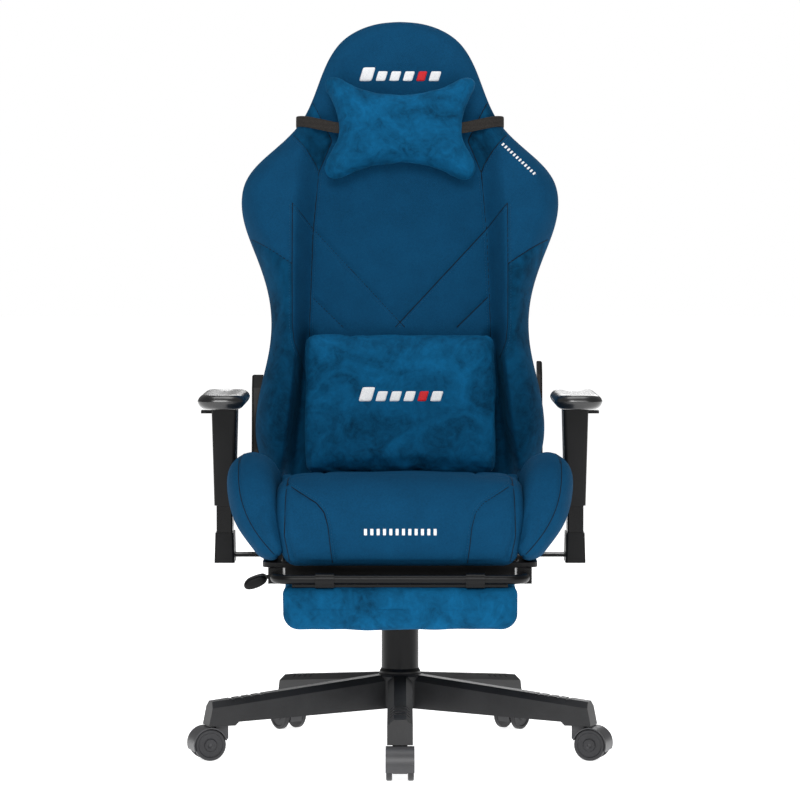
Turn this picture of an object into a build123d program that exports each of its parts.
from build123d import *
import math
import os

# Gaming chair on a five-armed caster base, in millimetres.
# +Z is up, the sitter faces -Y, and +X is at the sitter's left hand.
# The origin is on the floor, on the axis of the gas column.
# "right" and "left" in the names are the sitter's right (-X) and left (+X).

# ---- driving dimensions: casters ----
arm_count = 5
stem_circle = 312.0            # radius of the circle through the caster stems
caster_trail = 21.5            # axle behind the stem
wheel_radius = 26.0
wheel_width = 10.5
wheel_bore_clearance = 0.05
axle_radius = 3.0
fork_width = 24.0              # body between the two wheels
wheel_side_gap = 0.4
hood_gap = 0.9                 # hood above the tread
hood_wall = 1.9
fork_floor = 14.0              # lowest point of the body above the floor
stem_radius = 5.5
stem_length = 24.0
stem_clearance = 0.05
fixed_gap = 0.02               # pressed and glued joints, per side
swivel_gap = 1.7               # base boss above the hood

# ---- driving dimensions: star base ----
hub_wall = 13.0                # hub beyond the column
hub_top = 132.0
hub_bottom = 74.0
arm_width = 41.0
arm_top_at_hub = 130.0
arm_top_at_tip = 96.0
arm_overhang = 16.0            # arm's tip beyond the stem
arm_tip_slant = 8.0
arm_bottom_at_tip = 62.5
boss_length = 45.0
bevel_width = 10.5
bevel_drop = 9.5
arm_wall = 4.0
rib_wall = 2.6
rib_pitch = 50.0
rib_count = 4
groove_width = 5.5
groove_depth = 1.5
groove_reach = 15.5
groove_pitch = 16.5
groove_count = 4
groove_inset = 38.0            # outermost groove inside the arm's tip

# ---- driving dimensions: gas column ----
column_radius = 25.0
column_taper = 1.2
column_wall = 2.0
column_top = 236.0
bush_length = 40.0
rod_radius = 5.0
gas_radius = 14.0
gas_wall = 2.0
gas_bottom = 98.0
gas_top = 286.0
gas_cone_length = 24.0
gas_cone_drop = 1.0
cover_inner_gap = 1.2          # narrowest cover's bore round the column
cover_wall = 1.2
cover_step_gap = 0.6
cover_bottom = 132.0
cover_lower_top = 228.0
cover_flare = 3.0
cover_cap_top = 252.0
cover_cap = 2.0
pin_radius = 2.6
pin_top = 292.7
running_gap = 0.05

# ---- driving dimensions: tilt mechanism ----
housing_floor = 262.0
housing_half_width = 50.0
housing_front = -95.0
housing_rear = 80.0
housing_side_top = 315.0
housing_rear_top = 288.0
housing_wall = 3.0
tilt_y = -45.0
tilt_z = 309.0
tilt_pin_radius = 4.5
lug_radius = 8.5
lug_wall = 4.0
lug_inside = 58.0
plate_bottom = 319.0
plate_thickness = 4.0
plate_half_width = 105.0
plate_front = -118.0
plate_rear = 125.0
bolt_y = -75.0
bolt_radius = 5.0
knob_radius = 19.0
knob_bottom = 224.0
knob_height = 22.0
spring_wire = 1.6
spring_radius = 11.0
lever_z = 296.0
lever_radius = 3.5
lever_end = -222.0
crank_thickness = 6.0
lever_bush_radius = 7.0
paddle_width = 27.0
paddle_length = 46.0
paddle_thickness = 8.0

# ---- driving dimensions: seat ----
frame_bottom = 328.0
frame_top = 336.0
frame_half_width = 222.0
frame_front = -225.0
frame_rear = 222.0
frame_tube = 30.0
skirt_bottom = 316.0           # front edge of the frame, turned down
skirt_wall = 3.0
skirt_gap = 3.0                # beside the footrest's rails
seat_bottom = 339.0
seat_front = -276.0
seat_rear = 188.0
seat_half_width = 199.0
seat_front_top = 475.0
seat_rear_top = 448.0
seat_roll = 62.0
soft_gap = 1.0
bolster_half_width = 281.0
bolster_top = 508.0

# ---- driving dimensions: armrests ----
armrest_x = 294.0
armrest_y = 45.0
post_width = 27.0
post_depth = 62.0
socket_top = 364.0
socket_bottom = 314.0
socket_top_width = 31.0
socket_bottom_width = 34.0
sleeve_bottom = 410.0
sleeve_top = 576.0
sleeve_bottom_width = 34.0
sleeve_top_width = 42.0
sleeve_top_depth = 86.0
slide_gap = 0.4
armrest_down = 35.0
bracket_thickness = 5.0
bracket_depth = 40.0
armpad_width = 79.0
armpad_length = 250.0
armpad_height = 25.0
armpad_y = 15.0

# ---- driving dimensions: footrest ----
footrest_tube_radius = 7.5
footrest_half_width = 200.0
footrest_tube_z = 315.0
footrest_front = -290.0
footrest_rear = 160.0
footrest_corner = 30.0
rail_bottom = 303.0
rail_front = -235.0
rail_rear = -60.0
rail_half_block = 12.0
rail_gap = 0.08
footpad_half_width = 187.0
footpad_front = -302.0
footpad_rear = -102.0
footpad_bottom = 233.0
footpad_top = 303.0
footpad_corner = 25.0
footpad_board = 4.0

# ---- driving dimensions: backrest ----
back_pivot_y = 220.0
back_pivot_z = 400.0
back_lean = 8.0                # degrees back from upright, at rest
back_rear = -26.0
back_core = 46.0               # front face of the middle panel
back_wing = 108.0              # front of the wings
back_head = 52.0               # front of the head section
channel_half_width = 162.0     # middle panel, at its face
hinge_plate = 5.0
hinge_inside = 224.0
hinge_gap = 0.6
hinge_pin_radius = 8.0
hinge_cover_right = 257.0
hinge_cover_left = 247.0
back_tube_radius = 11.0
channel_low = -95.0
channel_high = 590.0
neck_pillow_height = 640.0     # its narrowest place, up the back
neck_pillow_waist = 108.0
neck_pillow_depth = 62.0
strap_height = 662.0
lumbar_height = 167.0
lumbar_length = 244.0
lumbar_side_gap = 4.0
lumbar_depth = 62.0
strap_width = 19.0
strap_thickness = 1.6
strap_side_gap = 6.0           # beside the head, clear of its curved outline

front_side = Plane(origin=(0, 0, 0), x_dir=(0, -1, 0), z_dir=(-1, 0, 0))
lean = math.radians(back_lean)
back_plane = Plane(
    origin=(0, back_pivot_y, back_pivot_z),
    x_dir=(1, 0, 0),
    z_dir=(0, -math.cos(lean), math.sin(lean)),
)
back_side = Plane(
    origin=(0, back_pivot_y, back_pivot_z),
    x_dir=(0, -math.cos(lean), math.sin(lean)),
    z_dir=(-1, 0, 0),
)
sides = {"right": -1, "left": 1}


def save(part, label):
    part.label = label
    export_step(part, f"parts/{label}.step")


def turned(part, index):
    """The front arm's piece, turned to arm number index."""
    return part.rotate(Axis.Z, index * 360.0 / arm_count)


# ---------------------------------------------------------------- casters
hood_inner = wheel_radius + hood_gap
hood_outer = hood_inner + hood_wall
axle_circle = stem_circle + caster_trail
hub_radius = column_radius + hub_wall
arm_tip = stem_circle + arm_overhang
cover_radius = column_radius + cover_inner_gap + 3 * cover_wall + 2 * cover_step_gap
wheel_inside = fork_width / 2 + wheel_side_gap
hood_half_width = wheel_inside + wheel_width
boss_bottom = wheel_radius + hood_outer + swivel_gap


def caster_yoke():
    """Hood and fork of the front caster, with its stem and axle as separate solids."""
    with BuildPart() as yoke:
        with BuildSketch(front_side):
            with Locations((axle_circle, wheel_radius)):
                Circle(hood_inner)
            with BuildLine():
                Polyline(
                    (stem_circle - 11, wheel_radius + 8),
                    (stem_circle - 11, boss_bottom - 0.5),
                    (stem_circle + 10, boss_bottom - 0.5),
                    (stem_circle + 10, wheel_radius + 8),
                    close=True,
                )
            make_face()
            with Locations((axle_circle, fork_floor - 20)):
                Rectangle(80, 40, mode=Mode.SUBTRACT)
        extrude(amount=fork_width / 2, both=True)
        with BuildSketch(front_side):
            with Locations((axle_circle, wheel_radius)):
                Circle(hood_outer)
                Circle(hood_inner, mode=Mode.SUBTRACT)
            with Locations((axle_circle, wheel_radius - 10 - hood_outer)):
                Rectangle(90, 2 * hood_outer, mode=Mode.SUBTRACT)
            with Locations((axle_circle - 0.75 * hood_outer - 20, wheel_radius - 8)):
                Rectangle(40, 30, mode=Mode.SUBTRACT)
        extrude(amount=hood_half_width, both=True)
        with BuildSketch(Plane.XY.offset(boss_bottom - stem_length)):
            with Locations((0, -stem_circle)):
                Circle(stem_radius + fixed_gap)
        extrude(amount=stem_length, mode=Mode.SUBTRACT)
        with BuildSketch(front_side):
            with Locations((axle_circle, wheel_radius)):
                Circle(axle_radius + fixed_gap)
        extrude(amount=fork_width, both=True, mode=Mode.SUBTRACT)
        with BuildSketch(Plane.XY.offset(boss_bottom - stem_length + 1)):
            with Locations((0, -stem_circle)):
                Circle(stem_radius)
        extrude(amount=2 * stem_length - 3)
        with BuildSketch(front_side):
            with Locations((axle_circle, wheel_radius)):
                Circle(axle_radius)
        extrude(amount=hood_half_width - 2, both=True)
    return yoke.part


def caster_wheel(side):
    """One disc wheel of the front caster, with a raised rim and cap on its outer face."""
    near = wheel_inside
    far = wheel_inside + wheel_width
    profile = [
        (near, axle_radius + wheel_bore_clearance),
        (near, wheel_radius - 1.5),
        (near + 1.5, wheel_radius),
        (far - 2.5, wheel_radius),
        (far - 0.8, wheel_radius - 1.8),
        (far - 0.8, wheel_radius - 5),
        (far - 2.4, wheel_radius - 6.5),
        (far - 2.4, 11),
        (far, 9.5),
        (far, axle_radius + 3),
        (far - 1.0, axle_radius + wheel_bore_clearance),
    ]
    with BuildPart() as wheel:
        with BuildSketch(Plane.XY.offset(wheel_radius)):
            with BuildLine():
                Polyline([(side * x, -axle_circle + r) for x, r in profile], close=True)
            make_face()
        revolve(axis=Axis((0, -axle_circle, wheel_radius), (1, 0, 0)))
    return wheel.part


# -------------------------------------------------------------- star base
def arm_top(radius):
    """Height of the arm's top face at a distance from the column's axis."""
    slope = (arm_top_at_tip - arm_top_at_hub) / (arm_tip - hub_radius)
    return arm_top_at_hub + slope * (radius - hub_radius)


def arm_hollow():
    """The space under the front arm, left open below and crossed by ribs."""
    start = hub_radius + 2
    end = arm_tip + arm_tip_slant - boss_length - 4
    with BuildPart() as hollow:
        with BuildSketch(front_side):
            with BuildLine():
                Polyline(
                    (start, hub_bottom - 20),
                    (start, arm_top(start) - arm_wall),
                    (end, arm_top(end) - arm_wall),
                    (end, hub_bottom - 20),
                    close=True,
                )
            make_face()
        extrude(amount=arm_width / 2 - arm_wall, both=True)
        roof = hollow.faces().sort_by(Axis.Z)[-1]
        long_edges = roof.edges().sort_by(Axis.X)
        chamfer([long_edges[0], long_edges[-1]], bevel_width, bevel_drop, reference=roof)
        for rib in range(rib_count):
            radius = hub_radius + (rib + 1) * rib_pitch
            with BuildSketch(front_side):
                with Locations((radius, hub_bottom + 20)):
                    Rectangle(rib_wall, 80)
            extrude(amount=arm_width, both=True, mode=Mode.SUBTRACT)
    return hollow.part


def base_arm():
    """The arm that points forward, solid round the caster's socket."""
    hollow = arm_hollow()
    end = arm_tip + arm_tip_slant
    with BuildPart() as arm:
        with BuildSketch(front_side):
            with BuildLine():
                Polyline(
                    (hub_radius - 9, arm_top_at_hub),
                    (arm_tip, arm_top_at_tip),
                    (end, boss_bottom),
                    (end - boss_length, boss_bottom),
                    (end - boss_length - 6, arm_bottom_at_tip),
                    (hub_radius - 9, hub_bottom),
                    close=True,
                )
            make_face()
        extrude(amount=arm_width / 2, both=True)
        roof = arm.faces().sort_by(Axis.Z)[-1]
        long_edges = roof.edges().sort_by(Axis.X)
        chamfer([long_edges[0], long_edges[-1]], bevel_width, bevel_drop, reference=roof)
        add(hollow, mode=Mode.SUBTRACT)
        for step in range(groove_count):
            radius = arm_tip - groove_inset - step * groove_pitch
            top = arm_top(radius)
            flat = arm_width / 2 - bevel_width
            edge = top - (groove_reach - flat) / bevel_width * bevel_drop - groove_depth
            with BuildSketch(Plane.XZ.offset(radius)):
                with BuildLine():
                    Polyline(
                        (-groove_reach, edge),
                        (-flat, top - groove_depth),
                        (flat, top - groove_depth),
                        (groove_reach, edge),
                        (groove_reach, top + 6),
                        (-groove_reach, top + 6),
                        close=True,
                    )
                make_face()
            extrude(amount=groove_width, mode=Mode.SUBTRACT)
        with BuildSketch(Plane.XY.offset(boss_bottom)):
            with Locations((0, -stem_circle)):
                Circle(stem_radius + stem_clearance)
        extrude(amount=stem_length, mode=Mode.SUBTRACT)
    return arm.part


def star_base():
    arm = base_arm()
    seat_low = column_radius - column_taper + fixed_gap
    seat_high = column_radius + fixed_gap
    with BuildPart() as base:
        with BuildSketch(Plane.XZ):
            with BuildLine():
                Polyline(
                    (0, hub_bottom),
                    (hub_radius - 4, hub_bottom),
                    (hub_radius, hub_bottom + 4),
                    (hub_radius, hub_top - 5),
                    (hub_radius - 5, hub_top),
                    (0, hub_top),
                    close=True,
                )
            make_face()
        revolve(axis=Axis.Z)
        with PolarLocations(0, arm_count):
            add(arm)
        with BuildSketch(Plane.XZ):
            with BuildLine():
                Polyline(
                    (0, hub_bottom),
                    (seat_low, hub_bottom),
                    (seat_high, hub_top),
                    (0, hub_top),
                    close=True,
                )
            make_face()
        revolve(axis=Axis.Z, mode=Mode.SUBTRACT)
    return base.part


# ------------------------------------------------------------- gas column
def ring(inner, outer, low, high):
    """A plain tube about the column's axis."""
    with BuildPart() as tube:
        with BuildSketch(Plane.XY.offset(low)):
            Circle(outer)
            Circle(inner, mode=Mode.SUBTRACT)
        extrude(amount=high - low)
    return tube.part


def column_tube():
    """Stand tube with its tapered foot, and the guide bush in its top as a second solid."""
    inner = column_radius - column_taper - column_wall
    with BuildPart() as tube:
        with BuildSketch(Plane.XZ):
            with BuildLine():
                Polyline(
                    (rod_radius + fixed_gap, hub_bottom),
                    (column_radius - column_taper, hub_bottom),
                    (column_radius, hub_top),
                    (column_radius, column_top),
                    (inner, column_top),
                    (inner, hub_bottom + 3),
                    (rod_radius + fixed_gap, hub_bottom + 3),
                    close=True,
                )
            make_face()
        revolve(axis=Axis.Z)
        add(ring(gas_radius + running_gap, inner - fixed_gap, column_top - bush_length, column_top))
    return tube.part


def piston_rod():
    """Rod that stands on the tube's floor, with its piston, and the thrust bearing round it."""
    with BuildPart() as rod:
        with BuildSketch(Plane.XZ):
            with BuildLine():
                Polyline(
                    (0, hub_bottom - 6),
                    (rod_radius, hub_bottom - 6),
                    (rod_radius, gas_top - gas_cone_length - 12),
                    (gas_radius - gas_wall - 0.1, gas_top - gas_cone_length - 12),
                    (gas_radius - gas_wall - 0.1, gas_top - gas_cone_length - 4),
                    (0, gas_top - gas_cone_length - 4),
                    close=True,
                )
            make_face()
        revolve(axis=Axis.Z)
        add(ring(rod_radius + 0.1, 16.0, hub_bottom + 3.2, hub_bottom + 11))
    return rod.part


def gas_cylinder():
    """Pressure tube with a gland at its foot and a cone at its top."""
    bore = gas_radius - gas_wall
    shoulder = gas_top - gas_cone_length
    with BuildPart() as cylinder:
        with BuildSketch(Plane.XZ):
            with BuildLine():
                Polyline(
                    (rod_radius + running_gap, gas_bottom),
                    (gas_radius, gas_bottom),
                    (gas_radius, shoulder),
                    (gas_radius - gas_cone_drop, gas_top),
                    (pin_radius + running_gap, gas_top),
                    (pin_radius + running_gap, shoulder + 6),
                    (bore, shoulder + 6),
                    (bore, gas_bottom + 6),
                    (rod_radius + running_gap, gas_bottom + 6),
                    close=True,
                )
            make_face()
        revolve(axis=Axis.Z)
    return cylinder.part


def column_covers():
    """Three telescoping covers: the widest stands on the hub, the narrowest hangs from the top."""
    step = cover_wall + cover_step_gap
    flare = cover_radius + cover_flare
    with BuildPart() as lower:
        with BuildSketch(Plane.XZ):
            with BuildLine():
                Polyline(
                    (cover_radius - cover_wall, cover_bottom),
                    (flare, cover_bottom),
                    (flare, cover_bottom + 3),
                    (cover_radius, cover_bottom + 8),
                    (cover_radius, cover_lower_top),
                    (cover_radius - cover_wall, cover_lower_top),
                    close=True,
                )
            make_face()
        revolve(axis=Axis.Z)
    middle_radius = cover_radius - step
    middle = ring(middle_radius - cover_wall, middle_radius, cover_bottom + 2, cover_lower_top + 8)
    upper_radius = middle_radius - step
    with BuildPart() as upper:
        with BuildSketch(Plane.XZ):
            with BuildLine():
                Polyline(
                    (upper_radius - cover_wall, cover_bottom + 4),
                    (upper_radius, cover_bottom + 4),
                    (upper_radius, cover_cap_top),
                    (gas_radius + 0.1, cover_cap_top),
                    (gas_radius + 0.1, cover_cap_top - cover_cap),
                    (upper_radius - cover_wall, cover_cap_top - cover_cap),
                    close=True,
                )
            make_face()
        revolve(axis=Axis.Z)
    return lower.part, middle, upper.part


def release_pin():
    with BuildPart() as pin:
        with BuildSketch(Plane.XY.offset(gas_top - 12)):
            Circle(pin_radius)
        extrude(amount=pin_top - gas_top + 12)
    return pin.part


# --------------------------------------------------------- tilt mechanism
def mechanism_housing():
    """Pressed steel tray with the column's cone socket, a slot for the tension bolt and pin holes."""
    wide = 2 * housing_half_width
    long = housing_rear - housing_front
    middle = (housing_rear + housing_front) / 2
    with BuildPart() as housing:
        with BuildSketch(Plane.YZ.offset(-housing_half_width)):
            with BuildLine():
                Polyline(
                    (housing_front, housing_floor),
                    (housing_rear, housing_floor),
                    (housing_rear, housing_rear_top),
                    (tilt_y + 12, housing_side_top),
                    (housing_front, housing_side_top),
                    close=True,
                )
            make_face()
        extrude(amount=wide)
        with BuildSketch(Plane.XY.offset(housing_floor + housing_wall)):
            with Locations((0, middle)):
                Rectangle(wide - 2 * housing_wall, long - 2 * housing_wall)
        extrude(amount=100, mode=Mode.SUBTRACT)
        with BuildSketch(Plane.XY.offset(housing_floor - 7)):
            Circle(21)
        extrude(amount=gas_top - 2 - housing_floor + 7)
        with BuildSketch(Plane.XZ):
            with BuildLine():
                Polyline(
                    (0, housing_floor - 8),
                    (gas_radius + fixed_gap, housing_floor - 8),
                    (gas_radius + fixed_gap, gas_top - gas_cone_length),
                    (gas_radius - gas_cone_drop + fixed_gap, gas_top),
                    (0, gas_top),
                    close=True,
                )
            make_face()
        revolve(axis=Axis.Z, mode=Mode.SUBTRACT)
        with BuildSketch(Plane.XY.offset(housing_floor)):
            with Locations((0, bolt_y - 5)):
                SlotCenterToCenter(10, 2 * bolt_radius + 2, rotation=90)
        extrude(amount=housing_wall, mode=Mode.SUBTRACT)
        with BuildSketch(Plane.YZ.offset(-housing_half_width)):
            with Locations((tilt_y, tilt_z)):
                Circle(tilt_pin_radius + running_gap)
        extrude(amount=wide, mode=Mode.SUBTRACT)
        with BuildSketch(Plane.YZ.offset(-housing_half_width)):
            with Locations((tilt_y, lever_z)):
                Circle(lever_bush_radius + running_gap)
        extrude(amount=housing_wall, mode=Mode.SUBTRACT)
    return housing.part


def tension_spring():
    """Coil between the tension knob's cup and the housing's floor."""
    low = knob_bottom + 6 + spring_wire
    high = housing_floor - spring_wire - 0.2
    with BuildPart() as spring:
        with BuildLine() as coil:
            Helix(pitch=(high - low) / 4, height=high - low, radius=spring_radius, center=(0, bolt_y, low))
        with BuildSketch(Plane(origin=coil.line @ 0, z_dir=coil.line % 0)):
            Circle(spring_wire)
        sweep(path=coil.line)
    return spring.part


def tension_knob():
    with BuildPart() as knob:
        with BuildSketch(Plane.XY.offset(knob_bottom)):
            with Locations((0, bolt_y)):
                Circle(knob_radius - 1.2)
                with PolarLocations(knob_radius - 2.4, 12):
                    Circle(2.4)
                Circle(bolt_radius + running_gap, mode=Mode.SUBTRACT)
        extrude(amount=knob_height)
        with BuildSketch(Plane.XY.offset(knob_bottom + 5)):
            with Locations((0, bolt_y)):
                Circle(knob_radius - 4)
                Circle(bolt_radius + running_gap, mode=Mode.SUBTRACT)
        extrude(amount=knob_height, mode=Mode.SUBTRACT)
    return knob.part


def seat_plate():
    """Plate that carries the seat, with two lugs that hang on the tilt pin."""
    with BuildPart() as plate:
        with BuildSketch(Plane.XY.offset(plate_bottom)):
            with Locations((0, (plate_front + plate_rear) / 2)):
                RectangleRounded(2 * plate_half_width, plate_rear - plate_front, 12)
            with Locations(*bolt_places()):
                Circle(4.1, mode=Mode.SUBTRACT)
        extrude(amount=plate_thickness)
        for side in (-1, 1):
            inner = side * lug_inside
            with BuildSketch(Plane.YZ.offset(min(inner, inner + side * lug_wall))):
                with Locations((tilt_y, tilt_z)):
                    Circle(lug_radius)
                with Locations((tilt_y, (tilt_z + plate_bottom) / 2 + 0.5)):
                    Rectangle(2 * lug_radius, plate_bottom - tilt_z + 1)
                with Locations((tilt_y, tilt_z)):
                    Circle(tilt_pin_radius + fixed_gap, mode=Mode.SUBTRACT)
            extrude(amount=lug_wall)
    return plate.part


def bolt_places():
    return [(x, y) for x in (-85, 85) for y in (cross_rail_front, cross_rail_rear)]


def tilt_fasteners():
    """The tilt pin, and the tension bolt that hangs from the plate through the knob."""
    reach = lug_inside + lug_wall
    with BuildPart() as fasteners:
        with BuildSketch(Plane.YZ.offset(-reach - 3)):
            with Locations((tilt_y, tilt_z)):
                Circle(tilt_pin_radius)
        extrude(amount=2 * reach + 6)
        with BuildSketch(Plane.YZ.offset(-reach - 5)):
            with Locations((tilt_y, tilt_z)):
                Circle(tilt_pin_radius + 2.5)
        extrude(amount=4.5)
        with BuildSketch(Plane.XY.offset(knob_bottom - 1)):
            with Locations((0, bolt_y)):
                Circle(bolt_radius)
        extrude(amount=plate_bottom - knob_bottom + 1)
        with BuildSketch(Plane.XY.offset(knob_bottom - 5)):
            with Locations((0, bolt_y)):
                RegularPolygon(8, 6)
        extrude(amount=4.5)
    return fasteners.part


def lever_bush():
    with BuildPart() as bush:
        with BuildSketch(Plane.YZ.offset(-housing_half_width - 5)):
            with Locations((tilt_y, lever_z)):
                Circle(lever_bush_radius)
                Circle(lever_radius + running_gap, mode=Mode.SUBTRACT)
        extrude(amount=12)
        with BuildSketch(Plane.YZ.offset(-housing_half_width - 5)):
            with Locations((tilt_y, lever_z)):
                Circle(lever_bush_radius + 1)
                Circle(lever_radius + running_gap, mode=Mode.SUBTRACT)
        extrude(amount=4.8)
    return bush.part


def lift_lever():
    """Rod through the bush, with the crank that stands over the release pin."""
    with BuildPart() as lever:
        with BuildSketch(Plane.YZ.offset(lever_end)):
            with Locations((tilt_y, lever_z)):
                Circle(lever_radius)
        extrude(amount=30 - lever_end)
        with BuildSketch(Plane.XY.offset(lever_z - crank_thickness / 2)):
            with Locations((9, tilt_y / 2 + 3)):
                RectangleRounded(34, -tilt_y + 6, 3)
        extrude(amount=crank_thickness)
    return lever.part


def lift_lever_grip():
    """Moulded paddle on the lever's end, which drops forward and down."""
    drop = 24.0
    with BuildPart() as grip:
        with BuildSketch(Plane.YZ.offset(lever_end - paddle_width - 12)):
            with BuildLine():
                Polyline(
                    (tilt_y + 6, lever_z + 4),
                    (tilt_y - 8, lever_z + 3),
                    (tilt_y - paddle_length, lever_z - drop + paddle_thickness),
                    (tilt_y - paddle_length, lever_z - drop),
                    (tilt_y - 8, lever_z - paddle_thickness + 1),
                    (tilt_y + 6, lever_z - 6),
                    close=True,
                )
            make_face()
        extrude(amount=paddle_width)
        fillet(grip.edges().filter_by(Axis.X), 1.6)
        with BuildSketch(Plane.YZ.offset(lever_end - 12)):
            with Locations((tilt_y, lever_z)):
                Circle(6)
        extrude(amount=26)
        with BuildSketch(Plane.YZ.offset(lever_end)):
            with Locations((tilt_y, lever_z)):
                Circle(lever_radius + fixed_gap)
        extrude(amount=40, mode=Mode.SUBTRACT)
    return grip.part


# ------------------------------------------------------------------- seat
cross_rail_front = -44.0
cross_rail_rear = 90.0
cross_rail_width = 30.0


def seat_frame():
    """Flat rectangular tube frame with two cross rails that stand on the seat plate."""
    inner_width = 2 * (frame_half_width - frame_tube)
    plate_top = plate_bottom + plate_thickness
    skirt_half_width = footrest_half_width - rail_half_block - skirt_gap
    with BuildPart() as frame:
        with BuildSketch(Plane.XY.offset(frame_bottom)):
            with Locations((0, (frame_front + frame_rear) / 2)):
                RectangleRounded(2 * frame_half_width, frame_rear - frame_front, 24)
                Rectangle(inner_width, frame_rear - frame_front - 2 * frame_tube, mode=Mode.SUBTRACT)
        extrude(amount=frame_top - frame_bottom)
        with BuildSketch(Plane.XY.offset(skirt_bottom)):
            with Locations((0, frame_front + skirt_wall / 2)):
                Rectangle(2 * skirt_half_width, skirt_wall)
        extrude(amount=frame_bottom - skirt_bottom)
        with BuildSketch(Plane.XY.offset(plate_top)):
            for y in (cross_rail_front, cross_rail_rear):
                with Locations((0, y)):
                    Rectangle(inner_width, cross_rail_width)
        extrude(amount=frame_top - plate_top)
        with BuildSketch(Plane.XY.offset(plate_top)):
            with Locations(*bolt_places()):
                Circle(4.1)
        extrude(amount=frame_top - plate_top, mode=Mode.SUBTRACT)
    return frame.part


def seat_bolts():
    """Four bolts through the plate and the cross rails."""
    with BuildPart() as bolts:
        with BuildSketch(Plane.XY.offset(plate_bottom - 5)):
            with Locations(*bolt_places()):
                RegularPolygon(7, 6)
        extrude(amount=5)
        with BuildSketch(Plane.XY.offset(plate_bottom)):
            with Locations(*bolt_places()):
                Circle(4)
        extrude(amount=frame_top - plate_bottom)
    return bolts.part


def seat_cushion():
    with BuildPart() as cushion:
        with BuildSketch(Plane.YZ.offset(-seat_half_width)):
            with BuildLine():
                Polyline(
                    (seat_front, seat_bottom),
                    (seat_rear, seat_bottom),
                    (seat_rear, seat_rear_top),
                    (seat_front + 70, seat_front_top),
                    (seat_front, seat_front_top - 12),
                    close=True,
                )
            make_face()
            fillet(vertices().sort_by(Axis.Y)[-1], 8)
        extrude(amount=2 * seat_half_width)
        nose = cushion.edges().filter_by(Axis.X).group_by(Axis.Y)[0].sort_by(Axis.Z)
        fillet(nose[-1], seat_roll)
        fillet(nose[0], 14)
    return cushion.part


bolster_stations = [
    # y, widest half width, top height, share of the full section
    (-262.0, 240.0, 440.0),
    (-215.0, 274.0, 488.0),
    (-160.0, bolster_half_width, bolster_top),
    (-60.0, 272.0, 503.0),
    (25.0, 260.0, 494.0),
    (90.0, 246.0, 482.0),
    (140.0, 232.0, 468.0),
]


def seat_bolster(side):
    """Side cushion, lofted through upright sections that flare outward and upward."""
    inner = seat_half_width + soft_gap
    with BuildPart() as bolster:
        for y, half_width, top in bolster_stations:
            height = top - seat_bottom
            with BuildSketch(Plane.XZ.offset(-y)):
                with BuildLine():
                    Polyline(
                        (side * inner, seat_bottom),
                        (side * (inner + 0.35 * (half_width - inner)), seat_bottom),
                        (side * half_width, seat_bottom + 0.55 * height),
                        (side * half_width, seat_bottom + 0.82 * height),
                        (side * (inner + 0.62 * (half_width - inner)), top),
                        (side * inner, top - 22),
                        close=True,
                    )
                make_face()
        loft(ruled=True)
    return bolster.part


# --------------------------------------------------------------- armrests
def armrest_brackets():
    """Two flat bars under the frame that carry the armrest posts."""
    inner = 150.0
    outer = armrest_x + post_width / 2 - 2
    with BuildPart() as brackets:
        with BuildSketch(Plane.XY.offset(frame_bottom - bracket_thickness)):
            for side in (-1, 1):
                with Locations((side * (inner + outer) / 2, armrest_y)):
                    RectangleRounded(outer - inner, bracket_depth, 5)
        extrude(amount=bracket_thickness)
    return brackets.part


def block(x, y, low, high, low_size, high_size, corner):
    """An upright block between two rounded rectangles, as a private part."""
    with BuildPart() as body:
        with BuildSketch(Plane.XY.offset(low)):
            with Locations((x, y)):
                RectangleRounded(low_size[0], low_size[1], corner)
        with BuildSketch(Plane.XY.offset(high)):
            with Locations((x, y)):
                RectangleRounded(high_size[0], high_size[1], corner)
        loft()
    return body.part


def armrest_socket(side):
    """Moulded foot that closes round the post and the bracket's end."""
    x = side * armrest_x
    low_size = (socket_bottom_width, post_depth + 12)
    high_size = (socket_top_width, post_depth + 6)
    with BuildPart() as socket:
        add(block(x, armrest_y, socket_bottom, socket_top, low_size, high_size, 4))
        with BuildSketch(Plane.XY.offset(frame_bottom)):
            with Locations((x, armrest_y)):
                Rectangle(post_width, post_depth)
        extrude(amount=100, mode=Mode.SUBTRACT)
        with BuildSketch(Plane.XY.offset(frame_bottom - bracket_thickness)):
            with Locations((x - side * 20, armrest_y)):
                Rectangle(40 + post_width, bracket_depth)
        extrude(amount=bracket_thickness, mode=Mode.SUBTRACT)
    return socket.part


def armrest_post(side):
    with BuildPart() as post:
        with BuildSketch(Plane.XY.offset(frame_bottom)):
            with Locations((side * armrest_x, armrest_y)):
                Rectangle(post_width, post_depth)
        extrude(amount=post_top - frame_bottom)
        fillet(post.edges().filter_by(Axis.Z), 2.5)
    return post.part


lever_pocket = (300.0, 322.0)
lever_pivot_x = 310.0
lever_pivot_z = 566.0
lever_hub_radius = 4.0
lever_half_depth = 12.0
post_top = lever_pivot_z - lever_hub_radius - armrest_down - 2


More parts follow.
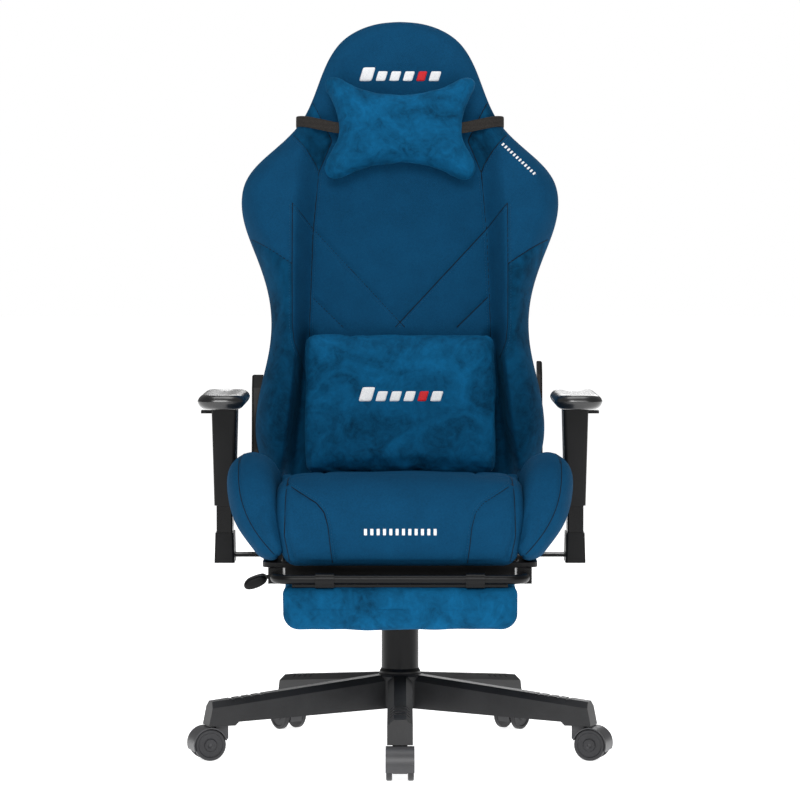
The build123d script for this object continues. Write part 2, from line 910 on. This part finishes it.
def armrest_sleeve(side):
    """Sliding sleeve: hollow over the post, solid under the pad, with the lever's pocket."""
    x = side * armrest_x
    low_size = (sleeve_bottom_width, post_depth + 8)
    high_size = (sleeve_top_width, sleeve_top_depth)
    pocket_middle = side * sum(lever_pocket) / 2
    with BuildPart() as sleeve:
        add(block(x, armrest_y, sleeve_bottom, sleeve_top, low_size, high_size, 6))
        with BuildSketch(Plane.XY.offset(sleeve_bottom)):
            with Locations((x, armrest_y)):
                Rectangle(post_width + 2 * slide_gap, post_depth + 2 * slide_gap)
        extrude(amount=post_top + armrest_down + 3 - sleeve_bottom, mode=Mode.SUBTRACT)
        with BuildSketch(Plane.XY.offset(lever_pivot_z - 7)):
            with Locations((pocket_middle, armrest_y)):
                Rectangle(lever_pocket[1] - lever_pocket[0], 2 * lever_half_depth + 1)
        extrude(amount=14, mode=Mode.SUBTRACT)
        with BuildSketch(Plane.XZ.offset(-armrest_y)):
            with Locations((side * lever_pivot_x, lever_pivot_z)):
                Circle(2.05)
        extrude(amount=lever_half_depth + 5, both=True, mode=Mode.SUBTRACT)
    return sleeve.part


def armrest_lever(side):
    """Release lever under the pad, on stub axles."""
    with BuildPart() as lever:
        with BuildSketch(Plane.XZ.offset(-armrest_y)):
            with Locations((side * lever_pivot_x, lever_pivot_z)):
                Circle(lever_hub_radius)
            with Locations((side * (lever_pivot_x + 10), lever_pivot_z)):
                Rectangle(28, 5)
        extrude(amount=lever_half_depth, both=True)
        with BuildSketch(Plane.XZ.offset(-armrest_y)):
            with Locations((side * lever_pivot_x, lever_pivot_z)):
                Circle(2)
        extrude(amount=lever_half_depth + 4.5, both=True)
    return lever.part


def armrest_pad(side):
    with BuildPart() as pad:
        with BuildSketch(Plane.XY.offset(sleeve_top)):
            with Locations((side * armrest_x, armpad_y)):
                RectangleRounded(armpad_width, armpad_length, 26)
        extrude(amount=armpad_height)
        fillet(pad.faces().sort_by(Axis.Z)[-1].edges(), 9)
        fillet(pad.faces().sort_by(Axis.Z)[0].edges(), 6)
    return pad.part


# --------------------------------------------------------------- footrest
def footrest_rails():
    """Two guide blocks under the frame, bored for the footrest's tubes."""
    with BuildPart() as rails:
        for side in (-1, 1):
            with BuildSketch(Plane.XZ.offset(-rail_rear)):
                with Locations((side * footrest_half_width, (rail_bottom + frame_bottom) / 2)):
                    Rectangle(2 * rail_half_block, frame_bottom - rail_bottom)
                with Locations((side * footrest_half_width, footrest_tube_z)):
                    Circle(footrest_tube_radius + rail_gap, mode=Mode.SUBTRACT)
            extrude(amount=rail_rear - rail_front)
    return rails.part


def footrest_frame():
    """Bent tube: two runs in the rails, joined by the cross run that the pad hangs on."""
    with BuildPart() as frame:
        with BuildLine(Plane.XY.offset(footrest_tube_z)) as route:
            FilletPolyline(
                (-footrest_half_width, footrest_rear),
                (-footrest_half_width, footrest_front),
                (footrest_half_width, footrest_front),
                (footrest_half_width, footrest_rear),
                radius=footrest_corner,
            )
        with BuildSketch(Plane(origin=route.line @ 0, z_dir=route.line % 0)):
            Circle(footrest_tube_radius)
            Circle(footrest_tube_radius - 1.6, mode=Mode.SUBTRACT)
        sweep(path=route.line)
    return frame.part


def footrest_hinge():
    """Steel board under the pad's cover, with two straps that turn on the cross tube."""
    middle = (footpad_front + footpad_rear) / 2
    length = footpad_rear - footpad_front - 24
    with BuildPart() as hinge:
        with BuildSketch(Plane.XY.offset(footpad_top)):
            with Locations((0, middle)):
                Rectangle(2 * footpad_half_width - 30, length)
        extrude(amount=footpad_board)
        for x in (-120, 120):
            with BuildSketch(Plane.YZ.offset(x - 15)):
                with Locations((footrest_front, footrest_tube_z)):
                    Circle(footrest_tube_radius + 2.6)
                with Locations((footrest_front + 3, footpad_top + 3)):
                    Rectangle(22, 6)
            extrude(amount=30)
        with BuildSketch(Plane.YZ.offset(-140)):
            with Locations((footrest_front, footrest_tube_z)):
                Circle(footrest_tube_radius + running_gap)
        extrude(amount=280, mode=Mode.SUBTRACT)
    return hinge.part


def footrest_pad():
    with BuildPart() as pad:
        with BuildSketch(Plane.XZ.offset(-footpad_rear)):
            with Locations((0, (footpad_bottom + footpad_top) / 2)):
                Rectangle(2 * footpad_half_width, footpad_top - footpad_bottom)
            fillet(vertices().group_by(Axis.Y)[0], footpad_corner)
        extrude(amount=footpad_rear - footpad_front)
        fillet(pad.faces().sort_by(Axis.Z)[0].edges(), 10)
    return pad.part


# --------------------------------------------------------------- backrest
# Outline of the upholstered back, seen square on: half width and height above the pivot.
lower_edge = 48.0
back_outline = [
    (232.0, 62.0),
    (249.0, 110.0),
    (243.0, 190.0),
    (226.0, 270.0),
    (226.0, 345.0),
    (252.0, 432.0),
    (274.0, 500.0),
    (270.0, 555.0),
    (222.0, 612.0),
    (172.0, 664.0),
    (146.0, 720.0),
    (122.0, 778.0),
]
back_top = 840.0
head_line = 560.0
frame_route = [(205.0, 30.0), (186.0, 300.0), (214.0, 500.0), (96.0, 742.0)]


def back_tube(radius):
    """Bent hoop of the back's frame, hidden in the foam."""
    points = [(-x, s) for x, s in frame_route] + [(x, s) for x, s in reversed(frame_route)]
    with BuildPart() as hoop:
        with BuildLine(back_plane.offset(4)) as route:
            FilletPolyline(*points, radius=70)
        with BuildSketch(Plane(origin=route.line @ 0, z_dir=route.line % 0)):
            Circle(radius)
        sweep(path=route.line)
    return hoop.part


def back_cushion():
    """Foam back with wings that stand forward of the middle panel, and a thinner head."""
    with BuildPart() as cushion:
        with BuildSketch(back_plane.offset(back_rear)):
            with BuildLine():
                right_side = [(x, s) for x, s in back_outline]
                left_side = [(-x, s) for x, s in reversed(back_outline)]
                flank = Spline(*right_side)
                crown = Spline(right_side[-1], (66, 827), (0, back_top), (-66, 827), left_side[0])
                other = Spline(*left_side)
                Polyline(other @ 1, (-200, lower_edge), (200, lower_edge), flank @ 0)
            make_face()
        extrude(amount=back_wing - back_rear)
        with BuildSketch(back_side.offset(-320)):
            with BuildLine():
                Polyline(
                    (back_wing - 26, -20),
                    (back_wing - 16, 110),
                    (back_wing, 230),
                    (back_wing, 430),
                    (back_head, head_line + 24),
                    (back_head, 900),
                    (back_wing + 60, 900),
                    (back_wing + 60, -20),
                    close=True,
                )
            make_face()
        extrude(amount=640, mode=Mode.SUBTRACT)
        with BuildSketch(back_plane.offset(back_core)):
            with Locations((0, (channel_low + channel_high) / 2)):
                Rectangle(2 * channel_half_width, channel_high - channel_low)
        extrude(amount=120, taper=-22, mode=Mode.SUBTRACT)
        # room at the lower rear corners for the hinge plates and their covers
        for side in (-1, 1):
            with BuildSketch(back_plane.offset(back_rear - 1)):
                with Locations((side * (hinge_inside + 60), lower_edge + 85)):
                    Rectangle(126, 250)
            extrude(amount=48, mode=Mode.SUBTRACT)
        add(back_tube(back_tube_radius + 0.4), mode=Mode.SUBTRACT)
    return cushion.part


def back_frame():
    """Bent hoop with welded arms that end in the hinge eyes."""
    inside = hinge_inside + hinge_plate + hinge_gap
    with BuildPart() as frame:
        add(back_tube(back_tube_radius))
        for side in (-1, 1):
            near = side * inside
            with BuildSketch(Plane.YZ.offset(min(near, near + side * hinge_plate))):
                with Locations((back_pivot_y, back_pivot_z)):
                    Circle(20)
                with Locations(
                    (back_pivot_y + 60 * math.sin(lean), back_pivot_z + 60 * math.cos(lean))
                ):
                    Rectangle(30, 124, rotation=-back_lean)
                with Locations((back_pivot_y, back_pivot_z)):
                    Circle(hinge_pin_radius + running_gap, mode=Mode.SUBTRACT)
            extrude(amount=hinge_plate)
            with BuildSketch(back_plane.offset(-6)):
                with Locations((side * (inside - 14), 36)):
                    Rectangle(30, 16)
            extrude(amount=14)
    return frame.part


def recliner_plates():
    """Plates welded to the seat frame's sides, with the pivots that carry the back."""
    plate_start = bolster_stations[-1][0] + 6
    shim_rear = frame_rear - 12
    with BuildPart() as plates:
        for side in (-1, 1):
            near = side * hinge_inside
            with BuildSketch(Plane.YZ.offset(min(near, near + side * hinge_plate))):
                with BuildLine():
                    Polyline(
                        (plate_start, frame_bottom),
                        (frame_rear + 34, frame_bottom),
                        (back_pivot_y + 26, back_pivot_z + 8),
                        (back_pivot_y, back_pivot_z + 26),
                        (back_pivot_y - 26, back_pivot_z + 8),
                        (plate_start, frame_bottom + 40),
                        close=True,
                    )
                make_face()
            extrude(amount=hinge_plate)
            far = side * (hinge_inside + 2 * hinge_plate + hinge_gap + 2)
            with BuildSketch(Plane.YZ.offset(min(near, far))):
                with Locations((back_pivot_y, back_pivot_z)):
                    Circle(hinge_pin_radius)
            extrude(amount=abs(far - near))
            with BuildSketch(Plane.XY.offset(frame_bottom)):
                middle = side * (frame_half_width + hinge_inside) / 2
                with Locations((middle, (plate_start + shim_rear) / 2)):
                    Rectangle(hinge_inside - frame_half_width, shim_rear - plate_start)
            extrude(amount=frame_top - frame_bottom)
    return plates.part


def hinge_cover(side, outer, top):
    """Moulded cover on the outside of a hinge arm."""
    inner = hinge_inside + 2 * hinge_plate + hinge_gap + 3
    with BuildPart() as cover:
        with BuildSketch(back_side.offset(-side * inner)):
            with BuildLine():
                Polyline(
                    (-22, -44),
                    (24, -44),
                    (30, 0),
                    (16, 90),
                    (14, top - 24),
                    (2, top),
                    (-22, top),
                    (-26, 40),
                    close=True,
                )
            make_face()
        extrude(amount=-side * (outer - inner))
        face = cover.faces().sort_by(Axis.X)[-1 if side > 0 else 0]
        fillet(face.edges(), 4)
    return cover.part


def recline_lever():
    """Handle on the right-hand hinge, which unlocks the recline."""
    inner = hinge_cover_right + 0.6
    with BuildPart() as lever:
        with BuildSketch(Plane.YZ.offset(-inner - 7)):
            with Locations((back_pivot_y, back_pivot_z)):
                Circle(15)
            with BuildLine():
                Polyline(
                    (back_pivot_y - 2, back_pivot_z - 13),
                    (back_pivot_y - 116, back_pivot_z + 2),
                    (back_pivot_y - 122, back_pivot_z + 12),
                    (back_pivot_y - 114, back_pivot_z + 21),
                    (back_pivot_y, back_pivot_z + 14),
                    close=True,
                )
            make_face()
        extrude(amount=7)
        fillet(lever.faces().sort_by(Axis.X)[0].edges(), 2)
    return lever.part


# ---------------------------------------------------------- loose cushions
def neck_pillow():
    """Bone-shaped pillow that hangs in front of the head."""
    middle, waist = neck_pillow_height, neck_pillow_waist
    with BuildPart() as pillow:
        with BuildSketch(back_plane.offset(back_head + soft_gap)):
            with BuildLine():
                Spline(
                    (-waist - 23, middle + 76),
                    (-waist - 4, middle + 91),
                    (0, middle + 65),
                    (waist + 4, middle + 91),
                    (waist + 23, middle + 76),
                )
                Spline((waist + 23, middle + 76), (waist, middle), (waist + 23, middle - 72))
                Spline(
                    (waist + 23, middle - 72),
                    (waist + 4, middle - 90),
                    (0, middle - 66),
                    (-waist - 4, middle - 90),
                    (-waist - 23, middle - 72),
                )
                Spline((-waist - 23, middle - 72), (-waist, middle), (-waist - 23, middle + 76))
            make_face()
        extrude(amount=neck_pillow_depth)
    return pillow.part


def head_half_width(height):
    """Half width of the head near the strap, where its outline is all but straight."""
    (low_x, low), (high_x, high) = back_outline[9:11]
    return low_x + (high_x - low_x) * (height - low) / (high - low)


def strap_block(skin, margin):
    """The head's own section at the strap, grown by skin, and by margin at its top and foot."""
    low = strap_height - strap_width / 2 - margin
    high = strap_height + strap_width / 2 + margin
    with BuildPart() as blank:
        with BuildSketch(back_plane.offset(back_rear - skin)):
            with BuildLine():
                Polyline(
                    (-head_half_width(low) - skin, low),
                    (head_half_width(low) + skin, low),
                    (head_half_width(high) + skin, high),
                    (-head_half_width(high) - skin, high),
                    close=True,
                )
            make_face()
        extrude(amount=back_head - back_rear + 2 * skin)
    return blank.part


def neck_strap():
    """Elastic band round the head section, from one side of the pillow to the other."""
    with BuildPart() as strap:
        add(strap_block(strap_side_gap + strap_thickness, 0))
        add(strap_block(strap_side_gap, 5), mode=Mode.SUBTRACT)
        with BuildSketch(back_plane.offset(back_head)):
            with Locations((0, strap_height)):
                Rectangle(2 * (neck_pillow_waist + 9), 2 * strap_width)
        extrude(amount=30, mode=Mode.SUBTRACT)
    return strap.part


def lumbar_pillow():
    with BuildPart() as pillow:
        with BuildSketch(back_plane.offset(back_core + soft_gap)):
            with Locations((0, lumbar_height)):
                RectangleRounded(2 * (channel_half_width - lumbar_side_gap), lumbar_length, 22)
        extrude(amount=lumbar_depth, taper=9)
    return pillow.part


# ----------------------------------------------------------------- export
def main():
    os.makedirs("parts", exist_ok=True)
    save(star_base(), "star_base")
    yoke = caster_yoke()
    wheels = {"a": caster_wheel(-1), "b": caster_wheel(1)}
    for index in range(arm_count):
        save(turned(yoke, index), f"caster_yoke_{index + 1}")
        for letter, wheel in wheels.items():
            save(turned(wheel, index), f"caster_wheel_{index + 1}{letter}")
    save(column_tube(), "column_tube")
    lower, middle, upper = column_covers()
    save(lower, "column_cover_lower")
    save(middle, "column_cover_middle")
    save(upper, "column_cover_upper")
    save(piston_rod(), "piston_rod")
    save(gas_cylinder(), "gas_cylinder")
    save(release_pin(), "release_pin")
    save(mechanism_housing(), "mechanism_housing")
    save(tension_spring(), "tension_spring")
    save(tension_knob(), "tension_knob")
    save(seat_plate(), "seat_plate")
    save(tilt_fasteners(), "tilt_fasteners")
    save(lever_bush(), "lever_bush")
    save(lift_lever(), "lift_lever")
    save(lift_lever_grip(), "lift_lever_grip")
    save(seat_frame(), "seat_frame")
    save(seat_bolts(), "seat_bolts")
    save(seat_cushion(), "seat_cushion")
    save(armrest_brackets(), "armrest_brackets")
    for name, side in sides.items():
        save(seat_bolster(side), f"seat_bolster_{name}")
        save(armrest_socket(side), f"armrest_socket_{name}")
        save(armrest_post(side), f"armrest_post_{name}")
        save(armrest_sleeve(side), f"armrest_sleeve_{name}")
        save(armrest_lever(side), f"armrest_lever_{name}")
        save(armrest_pad(side), f"armrest_pad_{name}")
    save(footrest_rails(), "footrest_rails")
    save(footrest_frame(), "footrest_frame")
    save(footrest_hinge(), "footrest_hinge")
    save(footrest_pad(), "footrest_pad")
    save(recliner_plates(), "recliner_plates")
    save(back_frame(), "back_frame")
    save(back_cushion(), "back_cushion")
    save(hinge_cover(-1, hinge_cover_right, 222), "hinge_cover_right")
    save(hinge_cover(1, hinge_cover_left, 246), "hinge_cover_left")
    save(recline_lever(), "recline_lever")
    save(neck_pillow(), "neck_pillow")
    save(neck_strap(), "neck_strap")
    save(lumbar_pillow(), "lumbar_pillow")


main()
